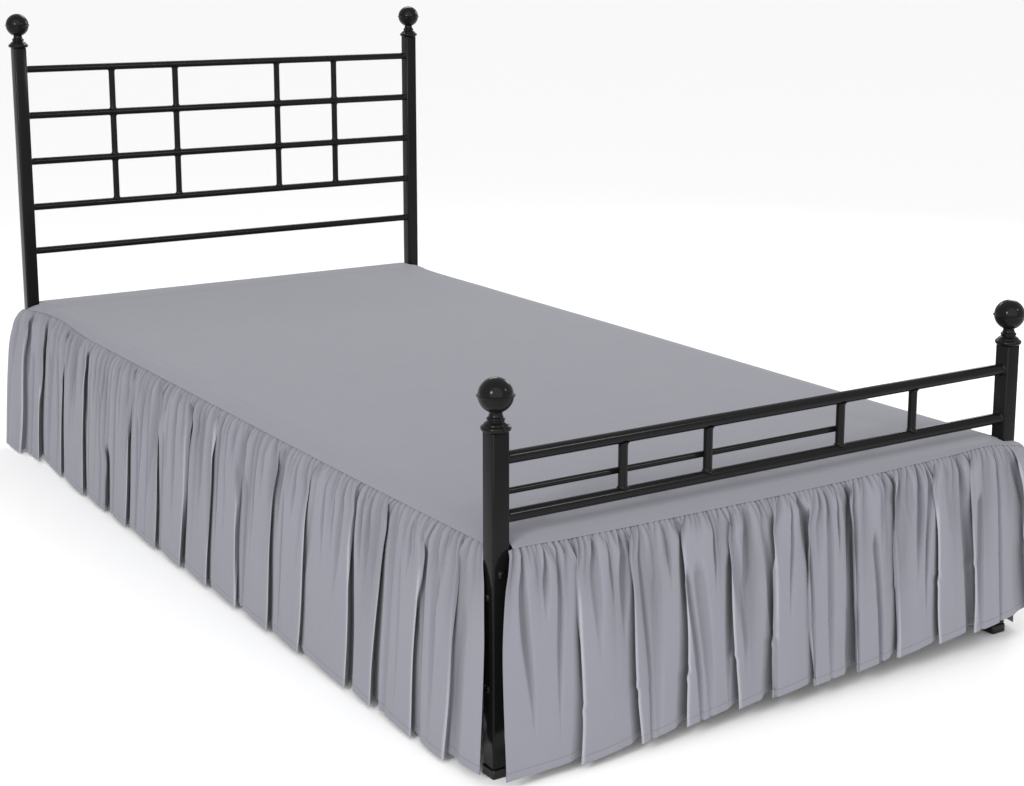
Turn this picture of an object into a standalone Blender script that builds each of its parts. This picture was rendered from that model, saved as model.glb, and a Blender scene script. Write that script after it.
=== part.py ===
"""A gathered bed skirt on a plain steel bed frame.

Metres, +Z up, +Y from foot to head. The origin is on the floor, under the middle of
the rectangle that the four posts make.
"""

import math

import bmesh
import bpy
import numpy as np

# Bed frame
SPAN_X = 1.000  # between post centres, across the bed
SPAN_Y = 2.000  # between post centres, along the bed
POST = 0.028  # side of the square post tube
FOOT_POST_TOP = 0.500
HEAD_POST_TOP = 0.925
CAP_SIDE = 0.031  # plastic foot cap under each post
CAP_HEIGHT = 0.014
GAP = 0.0003  # between pieces that touch

HEAD_RAIL_DIAMETER = 0.016
HEAD_RAIL_HEIGHTS = (0.463, 0.564, 0.668, 0.772, 0.876)
HEAD_UPRIGHT_DIAMETER = 0.014
UPRIGHT_PLACES = (-0.286, -0.131, 0.131, 0.286)  # X of the uprights, head and foot
FOOT_RAIL_DIAMETER = 0.019
FOOT_RAIL_HEIGHTS = (0.376, 0.4595)
BALUSTER_DIAMETER = 0.014
STOP_BAR_DIAMETER = 0.010
STOP_BAR_HEIGHT = 0.407
STOP_BAR_END = 0.139  # X, just past the third baluster

SIDE_RAIL = (0.020, 0.040)  # width, height
SIDE_RAIL_PLACE = 0.468  # X of its middle
SLAT = (0.040, 0.012)  # width, height
SLAT_LENGTH = 0.936
SLAT_COUNT = 8
SLAT_REACH = 0.930  # Y of the first and the last slat

# Turned finial: (height above the post top, radius) of the stem, from the base up
FINIAL_STEM = (
    (0.0000, 0.0205),
    (0.0030, 0.0215),
    (0.0060, 0.0205),
    (0.0075, 0.0175),
    (0.0125, 0.0150),
    (0.0155, 0.0125),
    (0.0175, 0.0130),
    (0.0200, 0.0125),
    (0.0215, 0.0105),
    (0.0260, 0.0105),
)
BALL_RADIUS = 0.0250
BALL_HEIGHT = 0.0500  # of its centre above the post top
BALL_SEAM = 0.0018  # how far the seam at its equator stands out, and half its height

# Bolt heads on a foot post: (face, height of its centre, diameter)
BOLTS = (
    ("end", 0.299, 0.012),
    ("side", 0.265, 0.011),
    ("side", 0.131, 0.013),
)
BOLT_DEPTH = 0.004

# Bed skirt
CLOTH = 0.0015  # thickness of the cloth
DECK_TOP = 0.345
DECK_FLAT_X = 0.468  # the deck is flat out to here, then rolls down
DECK_FLAT_FOOT = -0.975
DECK_HEAD = 1.004
DECK_TAIL = 0.010  # how much further its foot edge reaches past the right foot post
NOTCH_CLEARANCE = 0.003  # round the posts
NOTCH_REACH = 0.040  # how far a notch runs out past the deck's edge
SEAM_DROP = 0.0042  # from the deck's edge down to the drop's top edge, which lies just under it

# Where each seam runs: (place along it, distance from the bed's middle, height)
SIDE_SEAM = (
    (-0.979, 0.506, 0.335),
    (-0.600, 0.507, 0.332),
    (0.000, 0.509, 0.333),
    (0.600, 0.506, 0.332),
    (0.979, 0.505, 0.336),
)
FOOT_SEAM = (
    (-0.482, 1.008, 0.335),
    (-0.400, 1.019, 0.333),
    (-0.200, 1.021, 0.332),
    (0.130, 1.023, 0.333),
    (0.340, 1.027, 0.339),
    (0.450, 1.029, 0.342),
    (0.516, 1.030, 0.331),
)

# How a drop hangs between its folds: (share of the way down, distance out from the seam)
HANG = ((0.0, 0.000), (0.05, 0.012), (0.17, 0.022), (0.45, 0.030), (0.74, 0.036), (1.0, 0.041))
SWELL = 0.004  # how far a lobe bellies out between two folds
END_WIDTH = 0.080  # the stretch at each end of a drop that swings or tucks in

# How far the hem's corners swing along the drop: (at its first end, at its last end)
LEFT_SWING = (-0.027, 0.074)
FOOT_SWING = (-0.020, 0.044)
RIGHT_SWING = (-0.027, 0.072)
FOOT_END_TUCK = 0.30  # share of the hang that a side drop loses where it meets the foot post

# Folds of each drop, a row per fold: (place along the drop, half width of the recess,
# depth of the recess, share of the way down where it starts, shift of its foot)
LEFT_FOLDS = (
    (-0.935, 0.012, 0.014, 0.00, -0.006),
    (-0.845, 0.020, 0.017, 0.10, 0.004),
    (-0.727, 0.015, 0.026, 0.00, 0.000),
    (-0.624, 0.016, 0.031, 0.00, -0.006),
    (-0.483, 0.009, 0.018, 0.05, 0.005),
    (-0.353, 0.012, 0.026, 0.00, 0.000),
    (-0.214, 0.010, 0.014, 0.30, -0.004),
    (-0.107, 0.010, 0.022, 0.00, 0.004),
    (0.018, 0.013, 0.028, 0.00, 0.003),
    (0.157, 0.012, 0.024, 0.02, -0.004),
    (0.308, 0.011, 0.026, 0.00, 0.000),
    (0.426, 0.015, 0.020, 0.55, 0.005),
    (0.574, 0.012, 0.024, 0.10, -0.005),
    (0.724, 0.010, 0.022, 0.00, 0.000),
    (0.869, 0.013, 0.022, 0.02, 0.005),
    (0.962, 0.011, 0.018, 0.00, 0.003),
)
FOOT_FOLDS = (
    (-0.395, 0.011, 0.022, 0.02, -0.004),
    (-0.302, 0.010, 0.024, 0.00, 0.003),
    (-0.208, 0.011, 0.026, 0.00, 0.000),
    (-0.125, 0.010, 0.024, 0.03, 0.004),
    (-0.038, 0.016, 0.030, 0.00, -0.003),
    (0.028, 0.012, 0.024, 0.05, 0.000),
    (0.118, 0.016, 0.030, 0.00, 0.004),
    (0.211, 0.010, 0.024, 0.00, -0.003),
    (0.293, 0.010, 0.024, 0.04, 0.002),
    (0.377, 0.010, 0.022, 0.00, 0.000),
    (0.474, 0.011, 0.022, 0.00, 0.003),
)
RIGHT_FOLDS = (
    (-0.905, 0.012, 0.020, 0.00, 0.004),
    (-0.790, 0.015, 0.026, 0.04, -0.003),
    (-0.655, 0.011, 0.022, 0.00, 0.004),
    (-0.530, 0.014, 0.028, 0.00, 0.000),
    (-0.392, 0.010, 0.020, 0.30, 0.004),
    (-0.260, 0.013, 0.026, 0.00, -0.004),
    (-0.118, 0.011, 0.024, 0.02, 0.003),
    (0.020, 0.015, 0.028, 0.00, 0.000),
    (0.165, 0.011, 0.022, 0.10, -0.004),
    (0.290, 0.012, 0.026, 0.00, 0.003),
    (0.440, 0.010, 0.020, 0.45, 0.000),
    (0.565, 0.014, 0.026, 0.00, 0.004),
    (0.700, 0.011, 0.022, 0.00, -0.003),
    (0.850, 0.013, 0.024, 0.03, 0.003),
    (0.950, 0.010, 0.018, 0.00, 0.000),
)

# Hems: (place along the drop, height of the hem above the floor)
LEFT_HEM = (
    (-0.985, 0.016),
    (-0.900, 0.005),
    (-0.780, 0.008),
    (-0.500, 0.012),
    (-0.200, 0.015),
    (0.300, 0.017),
    (0.700, 0.018),
    (0.990, 0.008),
)
FOOT_HEM = (
    (-0.483, 0.020),
    (-0.400, 0.015),
    (-0.150, 0.030),
    (0.140, 0.036),
    (0.310, 0.046),
    (0.545, 0.048),
)
RIGHT_HEM = ((-0.985, 0.012), (-0.500, 0.016), (0.000, 0.013), (0.500, 0.017), (0.990, 0.012))

COLLECTION = "bed_skirt"


def clear_scene():
    for obj in list(bpy.data.objects):
        bpy.data.objects.remove(obj, do_unlink=True)


def new_collection(name):
    collection = bpy.data.collections.new(name)
    bpy.context.scene.collection.children.link(collection)
    return collection


def material(name, colour, roughness, metallic):
    made = bpy.data.materials.new(name)
    made.use_nodes = True
    shader = made.node_tree.nodes["Principled BSDF"]
    shader.inputs["Base Color"].default_value = (*colour, 1.0)
    shader.inputs["Roughness"].default_value = roughness
    shader.inputs["Metallic"].default_value = metallic
    return made


def add_object(name, data, collection, finish, location=(0.0, 0.0, 0.0)):
    obj = bpy.data.objects.new(name, data)
    obj.location = location
    collection.objects.link(obj)
    if finish is not None:
        data.materials.append(finish)
    return obj


def bevel(obj, width, segments=1):
    modifier = obj.modifiers.new("rounded_edges", "BEVEL")
    modifier.width = width
    modifier.segments = segments
    modifier.limit_method = "ANGLE"


def box(name, size, centre, collection, finish, rounded=0.0):
    mesh = bpy.data.meshes.new(name)
    shape = bmesh.new()
    bmesh.ops.create_cube(shape, size=1.0)
    bmesh.ops.scale(shape, vec=size, verts=shape.verts)
    shape.to_mesh(mesh)
    shape.free()
    obj = add_object(name, mesh, collection, finish, centre)
    if rounded:
        bevel(obj, rounded)
    return obj


def bar(name, diameter, length, centre, axis, collection, finish, sides=14):
    """A round bar along X, Y or Z."""
    mesh = bpy.data.meshes.new(name)
    shape = bmesh.new()
    bmesh.ops.create_cone(
        shape,
        cap_ends=True,
        segments=sides,
        radius1=diameter / 2,
        radius2=diameter / 2,
        depth=length,
    )
    shape.to_mesh(mesh)
    shape.free()
    mesh.shade_smooth()
    mesh.set_sharp_from_angle(angle=math.radians(40))
    obj = add_object(name, mesh, collection, finish, centre)
    obj.rotation_euler = {
        "x": (0.0, math.pi / 2, 0.0),
        "y": (math.pi / 2, 0.0, 0.0),
        "z": (0.0, 0.0, 0.0),
    }[axis]
    return obj


def turned(name, profile, centre, collection, finish, steps=16):
    """A profile of (radius, height) points, top to bottom, turned round Z."""
    mesh = bpy.data.meshes.new(name)
    points = [(radius, 0.0, height) for radius, height in profile]
    edges = [(i, i + 1) for i in range(len(points) - 1)]
    mesh.from_pydata(points, edges, [])
    obj = add_object(name, mesh, collection, finish, centre)
    screw = obj.modifiers.new("turn", "SCREW")
    screw.steps = steps
    screw.render_steps = steps
    screw.use_merge_vertices = True
    screw.merge_threshold = 0.0001
    screw.use_smooth_shade = True
    return obj


def posts(collection, steel, plastic):
    for name, side, end, top in corners():
        x, y = side * SPAN_X / 2, end * SPAN_Y / 2
        length = top - CAP_HEIGHT - 2 * GAP
        middle = CAP_HEIGHT + GAP + length / 2
        box(f"post_{name}", (POST, POST, length), (x, y, middle), collection, steel, 0.002)
        cap = (CAP_SIDE, CAP_SIDE, CAP_HEIGHT)
        box(f"foot_cap_{name}", cap, (x, y, CAP_HEIGHT / 2), collection, plastic, 0.0015)
        turned(f"finial_{name}", finial_profile(), (x, y, top), collection, steel)


def corners():
    """(name, side, end, top of the post) of each corner."""
    return (
        ("foot_left", -1, -1, FOOT_POST_TOP),
        ("foot_right", 1, -1, FOOT_POST_TOP),
        ("head_left", -1, 1, HEAD_POST_TOP),
        ("head_right", 1, 1, HEAD_POST_TOP),
    )


def finial_profile(rings=10):
    """The ball with the seam at its equator, then the stem, from the top down."""
    neck = math.acos(-math.sqrt(1 - (FINIAL_STEM[-1][1] / BALL_RADIUS) ** 2))
    upper = [math.pi / 2 * i / (rings // 2) for i in range(rings // 2)]
    lower = [math.pi / 2 + (neck - math.pi / 2) * i / (rings // 2) for i in range(1, rings // 2)]
    half = BALL_SEAM / BALL_RADIUS
    ball = []
    for angle in upper + [math.pi / 2 - half]:
        ball.append((BALL_RADIUS * math.sin(angle), BALL_HEIGHT + BALL_RADIUS * math.cos(angle)))
    ball.append((BALL_RADIUS + BALL_SEAM, BALL_HEIGHT + BALL_SEAM / 2))
    ball.append((BALL_RADIUS + BALL_SEAM, BALL_HEIGHT - BALL_SEAM / 2))
    for angle in [math.pi / 2 + half] + lower:
        ball.append((BALL_RADIUS * math.sin(angle), BALL_HEIGHT + BALL_RADIUS * math.cos(angle)))
    stem = [(radius, height) for height, radius in reversed(FINIAL_STEM)]
    return ball + stem + [(0.0, 0.0)]


def headboard(collection, steel):
    length = SPAN_X - POST - 2 * GAP
    y = SPAN_Y / 2
    for i, z in enumerate(HEAD_RAIL_HEIGHTS, 1):
        bar(f"head_rail_{i}", HEAD_RAIL_DIAMETER, length, (0.0, y, z), "x", collection, steel)
    for i in range(1, len(HEAD_RAIL_HEIGHTS) - 1):
        low, high = HEAD_RAIL_HEIGHTS[i], HEAD_RAIL_HEIGHTS[i + 1]
        span = high - low - HEAD_RAIL_DIAMETER - 2 * GAP
        for j, x in enumerate(UPRIGHT_PLACES, 1):
            centre = (x, y, (low + high) / 2)
            name = f"head_upright_{i}_{j}"
            bar(name, HEAD_UPRIGHT_DIAMETER, span, centre, "z", collection, steel, 12)


def footboard(collection, steel):
    length = SPAN_X - POST - 2 * GAP
    y = -SPAN_Y / 2
    low, high = FOOT_RAIL_HEIGHTS
    bar("foot_rail_low", FOOT_RAIL_DIAMETER, length, (0.0, y, low), "x", collection, steel)
    bar("foot_rail_high", FOOT_RAIL_DIAMETER, length, (0.0, y, high), "x", collection, steel)
    span = high - low - FOOT_RAIL_DIAMETER - 2 * GAP
    for j, x in enumerate(UPRIGHT_PLACES, 1):
        centre = (x, y, (low + high) / 2)
        bar(f"baluster_{j}", BALUSTER_DIAMETER, span, centre, "z", collection, steel, 12)
    start = -SPAN_X / 2 + POST / 2 + GAP
    centre = (
        (start + STOP_BAR_END) / 2,
        y + BALUSTER_DIAMETER / 2 + STOP_BAR_DIAMETER / 2 + GAP,
        STOP_BAR_HEIGHT,
    )
    length = STOP_BAR_END - start
    bar("stop_bar", STOP_BAR_DIAMETER, length, centre, "x", collection, steel, 10)


def deck_support(collection, steel):
    """The side rails and the slats under the deck panel."""
    slat_top = DECK_TOP - CLOTH - 2 * GAP
    rail_top = slat_top - SLAT[1] - GAP
    length = SPAN_Y - POST - 2 * GAP
    for name, side in (("left", -1), ("right", 1)):
        size = (SIDE_RAIL[0], length, SIDE_RAIL[1])
        centre = (side * SIDE_RAIL_PLACE, 0.0, rail_top - SIDE_RAIL[1] / 2)
        box(f"side_rail_{name}", size, centre, collection, steel)
    for i in range(SLAT_COUNT):
        y = -SLAT_REACH + 2 * SLAT_REACH * i / (SLAT_COUNT - 1)
        size = (SLAT_LENGTH, *SLAT)
        centre = (0.0, y, slat_top - SLAT[1] / 2)
        box(f"slat_{i + 1}", size, centre, collection, steel)


def bolts(collection, steel):
    y = -SPAN_Y / 2
    for name, side in (("left", -1), ("right", 1)):
        x = side * SPAN_X / 2
        reach = POST / 2 + GAP + BOLT_DEPTH / 2
        for i, (face, z, diameter) in enumerate(BOLTS, 1):
            if face == "end":
                centre, axis = (x, y - reach, z), "y"
            else:
                centre, axis = (x + side * reach, y, z), "x"
            head = bar(f"bolt_{name}_{i}", diameter, BOLT_DEPTH, centre, axis, collection, steel, 12)
            bevel(head, 0.001)


def between(rows, place, column):
    """The smooth value of a table's column at each place."""
    table = np.array(rows)
    at = np.clip(place, table[0, 0], table[-1, 0])
    i = np.clip(np.searchsorted(table[:, 0], at, side="right") - 1, 0, len(table) - 2)
    share = (at - table[i, 0]) / (table[i + 1, 0] - table[i, 0])
    share = share * share * (3 - 2 * share)
    return table[i, column] * (1 - share) + table[i + 1, column] * share


def stations(folds, start, end):
    """Places of the columns: seven to a fold, closest at the walls of its recess."""
    places = [start, end]
    for place, half_width, *_ in folds:
        places += [place + half_width * step for step in (-2.0, -1.15, -0.45, 0.45, 1.15, 2.0)]
    middles = [row[0] for row in folds]
    places += [(a + b) / 2 for a, b in zip(middles, middles[1:])]
    inside = sorted(p for p in places if start <= p <= end)
    kept = [inside[0]]
    for place in inside[1:]:
        if place - kept[-1] > 0.0035:
            kept.append(place)
    kept[-1] = end
    return np.array(kept)


def recess(folds, place, down):
    """How far each point lies behind the front of the folds."""
    depth = np.zeros_like(place)
    for at, half_width, deep, starts, shift in folds:
        grown = np.clip((down - starts) / (1.15 - starts), 0.0, 1.0) ** 0.6
        off = (place - at - shift * down) / (half_width * (0.8 + 0.4 * down))
        depth = np.maximum(depth, deep * grown * np.exp(-(np.abs(off) ** 2.6)))
    return depth


def swell(folds, place, down):
    """The lobes' belly: a half sine between each two folds, growing on the way down."""
    edges = np.array([row[0] for row in folds])
    i = np.clip(np.searchsorted(edges, place) - 1, 0, len(edges) - 2)
    share = np.clip((place - edges[i]) / (edges[i + 1] - edges[i]), 0.0, 1.0)
    return SWELL * down * np.sin(math.pi * share)


def near_ends(place, seam):
    """Two weights from 0 to 1: how near each place is to the drop's first and to its last end."""
    start, end = seam[0][0], seam[-1][0]
    first = np.clip(1 - (place - start) / END_WIDTH, 0.0, 1.0) ** 2
    last = np.clip(1 - (end - place) / END_WIDTH, 0.0, 1.0) ** 2
    return first, last


def drop_points(seam, folds, hem, swing, tuck=0.0):
    """(place, distance out, height) of the drop's grid: a row of columns for each row of HANG."""
    along = stations(folds, seam[0][0], seam[-1][0])
    place, down = np.meshgrid(along, np.array(HANG)[:, 0])
    first, last = near_ends(place, seam)
    top = between(seam, place, 2) - SEAM_DROP
    height = top + (between(hem, place, 1) - top) * down
    out = between(seam, place, 1) + between(HANG, down, 1) * (1 - tuck * first)
    out = out + swell(folds, place, down) - recess(folds, place, down)
    ramp = 1 - (1 - down) ** 2.5
    return place + ramp * (swing[0] * first + swing[1] * last), out, height


def sheet(name, points, rows, columns, collection, finish):
    """A grid of rows x columns bent to these points, and made as thick as the cloth."""
    mesh = bpy.data.meshes.new(name)
    shape = bmesh.new()
    bmesh.ops.create_grid(shape, x_segments=columns - 1, y_segments=rows - 1, size=0.5)
    shape.to_mesh(mesh)
    shape.free()
    mesh.vertices.foreach_set("co", points.reshape(-1).astype(np.float32))
    mesh.update()
    obj = add_object(name, mesh, collection, finish)
    wall = obj.modifiers.new("cloth", "SOLIDIFY")
    wall.thickness = CLOTH
    wall.offset = 0.0
    return obj


def side_drop(name, side, folds, hem, swing, collection, cloth):
    place, out, height = drop_points(SIDE_SEAM, folds, hem, swing, FOOT_END_TUCK)
    points = np.stack([side * out, place, height], axis=-1)
    if side > 0:
        points = points[:, ::-1]
    sheet(name, points, *place.shape, collection, cloth)


def foot_drop(collection, cloth):
    place, out, height = drop_points(FOOT_SEAM, FOOT_FOLDS, FOOT_HEM, FOOT_SWING)
    points = np.stack([place, -out, height], axis=-1)[:, ::-1]
    sheet("foot_drop", points, *place.shape, collection, cloth)


def deck(collection, cutters, cloth):
    """The top panel: flat over the slats, rolled down along both sides and the foot."""
    roll = np.array([1.0, 0.85, 0.68, 0.48, 0.26])
    flat_x = np.linspace(-DECK_FLAT_X, DECK_FLAT_X, 13)
    flat_y = np.linspace(DECK_FLAT_FOOT, DECK_HEAD, 21)
    over_side = np.concatenate([roll, np.zeros_like(flat_x), roll[::-1]])
    over_foot = np.concatenate([roll, np.zeros_like(flat_y)])
    x = np.concatenate([np.full(len(roll), -DECK_FLAT_X), flat_x, np.full(len(roll), DECK_FLAT_X)])
    y = np.concatenate([np.full(len(roll), DECK_FLAT_FOOT), flat_y])
    over_side, over_foot = np.meshgrid(over_side, over_foot)
    x, y = np.meshgrid(x, y)
    edge = between(SIDE_SEAM, y, 1) - DECK_FLAT_X
    fall = (DECK_TOP - between(SIDE_SEAM, y, 2)) * over_side**2
    x = x + np.sign(x) * over_side * edge + (x > 0) * DECK_TAIL * over_side * over_foot
    edge = between(FOOT_SEAM, x, 1) + DECK_FLAT_FOOT
    fall = np.maximum(fall, (DECK_TOP - between(FOOT_SEAM, x, 2)) * over_foot**2)
    points = np.stack([x, y - over_foot * edge, DECK_TOP - CLOTH / 2 - fall], axis=-1)
    panel = sheet("deck", points, *x.shape, collection, cloth)
    for name, side, end, _ in corners():
        notch(panel, name, side, end, cutters)


def notch(panel, name, side, end, cutters):
    """A slit from the post out to the deck's side edge; the left foot corner is cut right off."""
    width = POST + 2 * NOTCH_CLEARANCE + 2 * NOTCH_REACH
    length = POST + 2 * NOTCH_CLEARANCE
    x = side * (SPAN_X / 2 + NOTCH_REACH)
    y = end * SPAN_Y / 2
    if name == "foot_left":
        length = width
        y = y - NOTCH_REACH
    cutter = box(f"cutter_{name}", (width, length, 0.2), (x, y, DECK_TOP), cutters, None)
    cutter.hide_render = True
    cutter.display_type = "WIRE"
    cut = panel.modifiers.new(f"notch_{name}", "BOOLEAN")
    cut.operation = "DIFFERENCE"
    cut.object = cutter


def main():
    clear_scene()
    parts = new_collection(COLLECTION)
    cutters = new_collection("cutters")
    steel = material("black_powder_coated_steel", (0.012, 0.012, 0.013), 0.28, 0.0)
    plastic = material("black_plastic", (0.015, 0.015, 0.015), 0.5, 0.0)
    cloth = material("grey_microfibre", (0.37, 0.37, 0.40), 0.9, 0.0)
    posts(parts, steel, plastic)
    headboard(parts, steel)
    footboard(parts, steel)
    deck_support(parts, steel)
    bolts(parts, steel)
    deck(parts, cutters, cloth)
    side_drop("left_drop", -1, LEFT_FOLDS, LEFT_HEM, LEFT_SWING, parts, cloth)
    side_drop("right_drop", 1, RIGHT_FOLDS, RIGHT_HEM, RIGHT_SWING, parts, cloth)
    foot_drop(parts, cloth)


main()
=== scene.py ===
"""A gathered microfibre bed skirt on its black steel bed frame.

Metres, +Z up, +Y from the foot of the bed to its head.
"""

import math

import bmesh
import bpy
import numpy as np
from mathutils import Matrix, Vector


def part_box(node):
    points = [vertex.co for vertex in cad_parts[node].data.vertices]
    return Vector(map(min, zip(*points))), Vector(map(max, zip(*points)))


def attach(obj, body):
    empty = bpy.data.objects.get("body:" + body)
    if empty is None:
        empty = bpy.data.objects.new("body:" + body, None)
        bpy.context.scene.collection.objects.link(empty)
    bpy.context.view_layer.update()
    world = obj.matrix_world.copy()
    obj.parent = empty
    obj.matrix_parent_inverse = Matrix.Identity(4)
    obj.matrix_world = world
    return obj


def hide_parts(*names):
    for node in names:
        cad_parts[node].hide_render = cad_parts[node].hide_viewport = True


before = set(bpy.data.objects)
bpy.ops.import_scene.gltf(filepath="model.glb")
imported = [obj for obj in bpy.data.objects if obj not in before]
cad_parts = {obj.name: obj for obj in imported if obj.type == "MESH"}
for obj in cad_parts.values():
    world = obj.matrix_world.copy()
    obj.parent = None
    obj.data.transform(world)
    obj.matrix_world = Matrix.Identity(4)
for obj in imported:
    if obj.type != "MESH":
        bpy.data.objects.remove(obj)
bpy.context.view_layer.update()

# Bed skirt: cloth
CLOTH = 0.0009  # thickness of the deck panel's cloth
HEM_GAP = 0.0013  # between a drop and the hem turned up behind it
HEM_ROWS = 4  # rows of the grid that the turned-up hem covers
LEFT_COLUMNS = 1850
FOOT_COLUMNS = 1650
RIGHT_COLUMNS = 1200
DROP_ROWS = 46

# Bed skirt: deck panel
DECK_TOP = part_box("deck")[1].z
DECK_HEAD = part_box("deck")[1].y
DECK_FLAT_X = 0.468  # the deck is flat out to here, then rolls down
DECK_FLAT_FOOT = -0.975
DECK_TAIL = 0.010  # how much further its foot edge reaches past the right foot post
NOTCH = 0.003  # room between the panel and a post
BAND_INSIDE = 0.030  # a shallow dip along the seams, where the panel leaves the slats
BAND_WIDTH = 0.009
BAND_DEPTH = 0.0012

# Where each seam runs: (place along it, distance from the bed's middle, height)
SIDE_SEAM = (
    (-0.982, 0.506, 0.335),
    (-0.600, 0.507, 0.332),
    (0.000, 0.509, 0.333),
    (0.600, 0.506, 0.332),
    (0.930, 0.506, 0.335),
    (0.982, 0.5185, 0.333),
    (1.004, 0.5200, 0.331),
)
FOOT_SEAM = (
    (-0.4910, 1.0175, 0.333),
    (-0.480, 1.0175, 0.334),
    (-0.400, 1.019, 0.333),
    (-0.200, 1.021, 0.332),
    (0.130, 1.023, 0.333),
    (0.340, 1.027, 0.339),
    (0.450, 1.029, 0.342),
    (0.516, 1.030, 0.331),
)
SEAM_TUCK = (0.0006, 0.0004)  # how far a drop's top edge lies inside and under the deck's edge

# How a drop hangs between its folds: (share of the way down, distance out from the seam)
HANG = (
    (0.00, 0.000),
    (0.015, 0.006),
    (0.05, 0.013),
    (0.17, 0.022),
    (0.45, 0.030),
    (0.74, 0.036),
    (1.00, 0.041),
)
SWELL = 0.0020  # how far a panel bellies out between two folds
SAWTOOTH = 0.0034  # how much further out its edge nearest the left foot post stands, and less the other
HEM_DIP = 0.0034  # how much lower the hem hangs at that edge, and higher at the other
END_WIDTH = 0.080  # the stretch at each end of a drop that swings or tucks in
FOOT_END_TUCK = 0.30  # share of the hang that a side drop loses where it meets the foot post

# How far the hem's corners swing along the drop: (at its first end, at its last end)
LEFT_SWING = (-0.032, 0.048)
FOOT_SWING = (-0.031, 0.044)
RIGHT_SWING = (-0.030, 0.046)

# Deep folds, a row per fold: (place along the drop, width of its mouth, how deep it lies behind
# the next panel's edge, share of the way down where it starts, shift of its foot)
LEFT_FOLDS = (
    (-0.935, 0.014, 0.0023, 0.00, -0.006),
    (-0.845, 0.022, 0.0045, 0.05, 0.004),
    (-0.727, 0.020, 0.0105, 0.00, 0.010),
    (-0.624, 0.020, 0.0135, 0.00, -0.012),
    (-0.483, 0.010, 0.0037, 0.04, 0.009),
    (-0.353, 0.014, 0.0075, 0.00, 0.004),
    (-0.214, 0.012, 0.0037, 0.30, -0.008),
    (-0.107, 0.012, 0.0060, 0.00, 0.008),
    (0.018, 0.016, 0.0097, 0.02, 0.006),
    (0.157, 0.012, 0.0060, 0.02, -0.008),
    (0.308, 0.012, 0.0090, 0.00, 0.002),
    (0.426, 0.020, 0.0097, 0.58, 0.008),
    (0.574, 0.014, 0.0075, 0.02, -0.006),
    (0.724, 0.014, 0.0075, 0.00, 0.004),
    (0.869, 0.016, 0.0067, 0.02, 0.008),
    (0.940, 0.012, 0.0030, 0.00, 0.004),
)
FOOT_FOLDS = (
    (-0.395, 0.010, 0.004, 0.03, -0.006),
    (-0.302, 0.012, 0.009, 0.00, 0.004),
    (-0.208, 0.014, 0.010, 0.00, -0.002),
    (-0.125, 0.012, 0.008, 0.02, 0.006),
    (-0.038, 0.018, 0.012, 0.02, -0.006),
    (0.028, 0.010, 0.006, 0.05, 0.002),
    (0.118, 0.020, 0.014, 0.00, 0.007),
    (0.211, 0.012, 0.010, 0.00, -0.004),
    (0.293, 0.010, 0.008, 0.03, 0.004),
    (0.377, 0.012, 0.008, 0.00, -0.003),
    (0.474, 0.014, 0.006, 0.00, 0.004),
)
RIGHT_FOLDS = (
    (-0.905, 0.012, 0.005, 0.00, 0.006),
    (-0.790, 0.018, 0.012, 0.04, -0.006),
    (-0.655, 0.012, 0.008, 0.00, 0.008),
    (-0.530, 0.016, 0.013, 0.00, 0.000),
    (-0.392, 0.012, 0.006, 0.30, 0.006),
    (-0.260, 0.014, 0.010, 0.00, -0.008),
    (-0.118, 0.012, 0.008, 0.02, 0.005),
    (0.020, 0.018, 0.014, 0.00, 0.000),
    (0.165, 0.012, 0.007, 0.10, -0.006),
    (0.290, 0.014, 0.011, 0.00, 0.006),
    (0.440, 0.012, 0.006, 0.45, 0.000),
    (0.565, 0.014, 0.012, 0.00, 0.006),
    (0.700, 0.012, 0.009, 0.00, -0.004),
    (0.850, 0.014, 0.010, 0.03, 0.005),
    (0.935, 0.010, 0.004, 0.00, 0.000),
)
SIDE_LAP = 0.040  # how far a panel laps over the cloth folded in behind it
FOOT_LAP = 0.030
LIP = 0.014  # from a fold's place to the edge that laps over it, along the cloth
RIM_HIGHLIGHT = 0.006  # what the attribute "inside_fold" loses along that edge: a painted highlight that pales the cloth there

# Hems: (place along the drop, height of the hem above the floor)
LEFT_HEM = (
    (-0.985, 0.016),
    (-0.900, 0.009),
    (-0.780, 0.010),
    (-0.500, 0.012),
    (-0.200, 0.012),
    (0.300, 0.011),
    (0.700, 0.009),
    (0.990, 0.007),
)
FOOT_HEM = (
    (-0.483, 0.020),
    (-0.400, 0.016),
    (-0.150, 0.030),
    (0.140, 0.036),
    (0.310, 0.046),
    (0.420, 0.050),
    (0.500, 0.056),
    (0.545, 0.053),
)
RIGHT_HEM = ((-0.985, 0.013), (-0.500, 0.017), (0.000, 0.014), (0.500, 0.018), (0.990, 0.013))

# Small gathers, each a narrow valley that hangs from the seam
GATHER_PITCH = (0.0060, 0.0115)
GATHER_DEPTH = (0.0040, 0.0085)
GATHER_WIDTH = 0.0022
SIDE_GATHER = 1.45  # how much further apart and wider the gathers are along the sides
GATHER_DRIFT = 0.007
GATHER_LENGTHS = (0.018, 0.055, 0.140)
GATHER_SHARES = (0.42, 0.36, 0.22)

# Long valleys: (share of the way down where it starts, and where it has died out)
VALLEY_PITCH = (0.014, 0.034)
VALLEY_DEPTH = (0.0035, 0.0105)
VALLEY_WIDTH = (0.0026, 0.0072)
VALLEY_DRIFT = 0.010
VALLEY_LIVES = ((0.0, 0.35), (0.0, 0.5), (0.0, 0.8), (0.0, 1.4), (0.25, 1.4))

# The foot drop's fold line from its packing: (place along the drop, height), and its size
CREASE = ((-0.479, 0.088), (-0.320, 0.098), (-0.056, 0.117), (0.150, 0.140), (0.452, 0.165))
CREASE_WIDTH = 0.0050
CREASE_DEPTH = 0.0010
CREASE_KINK = 0.0016

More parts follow.
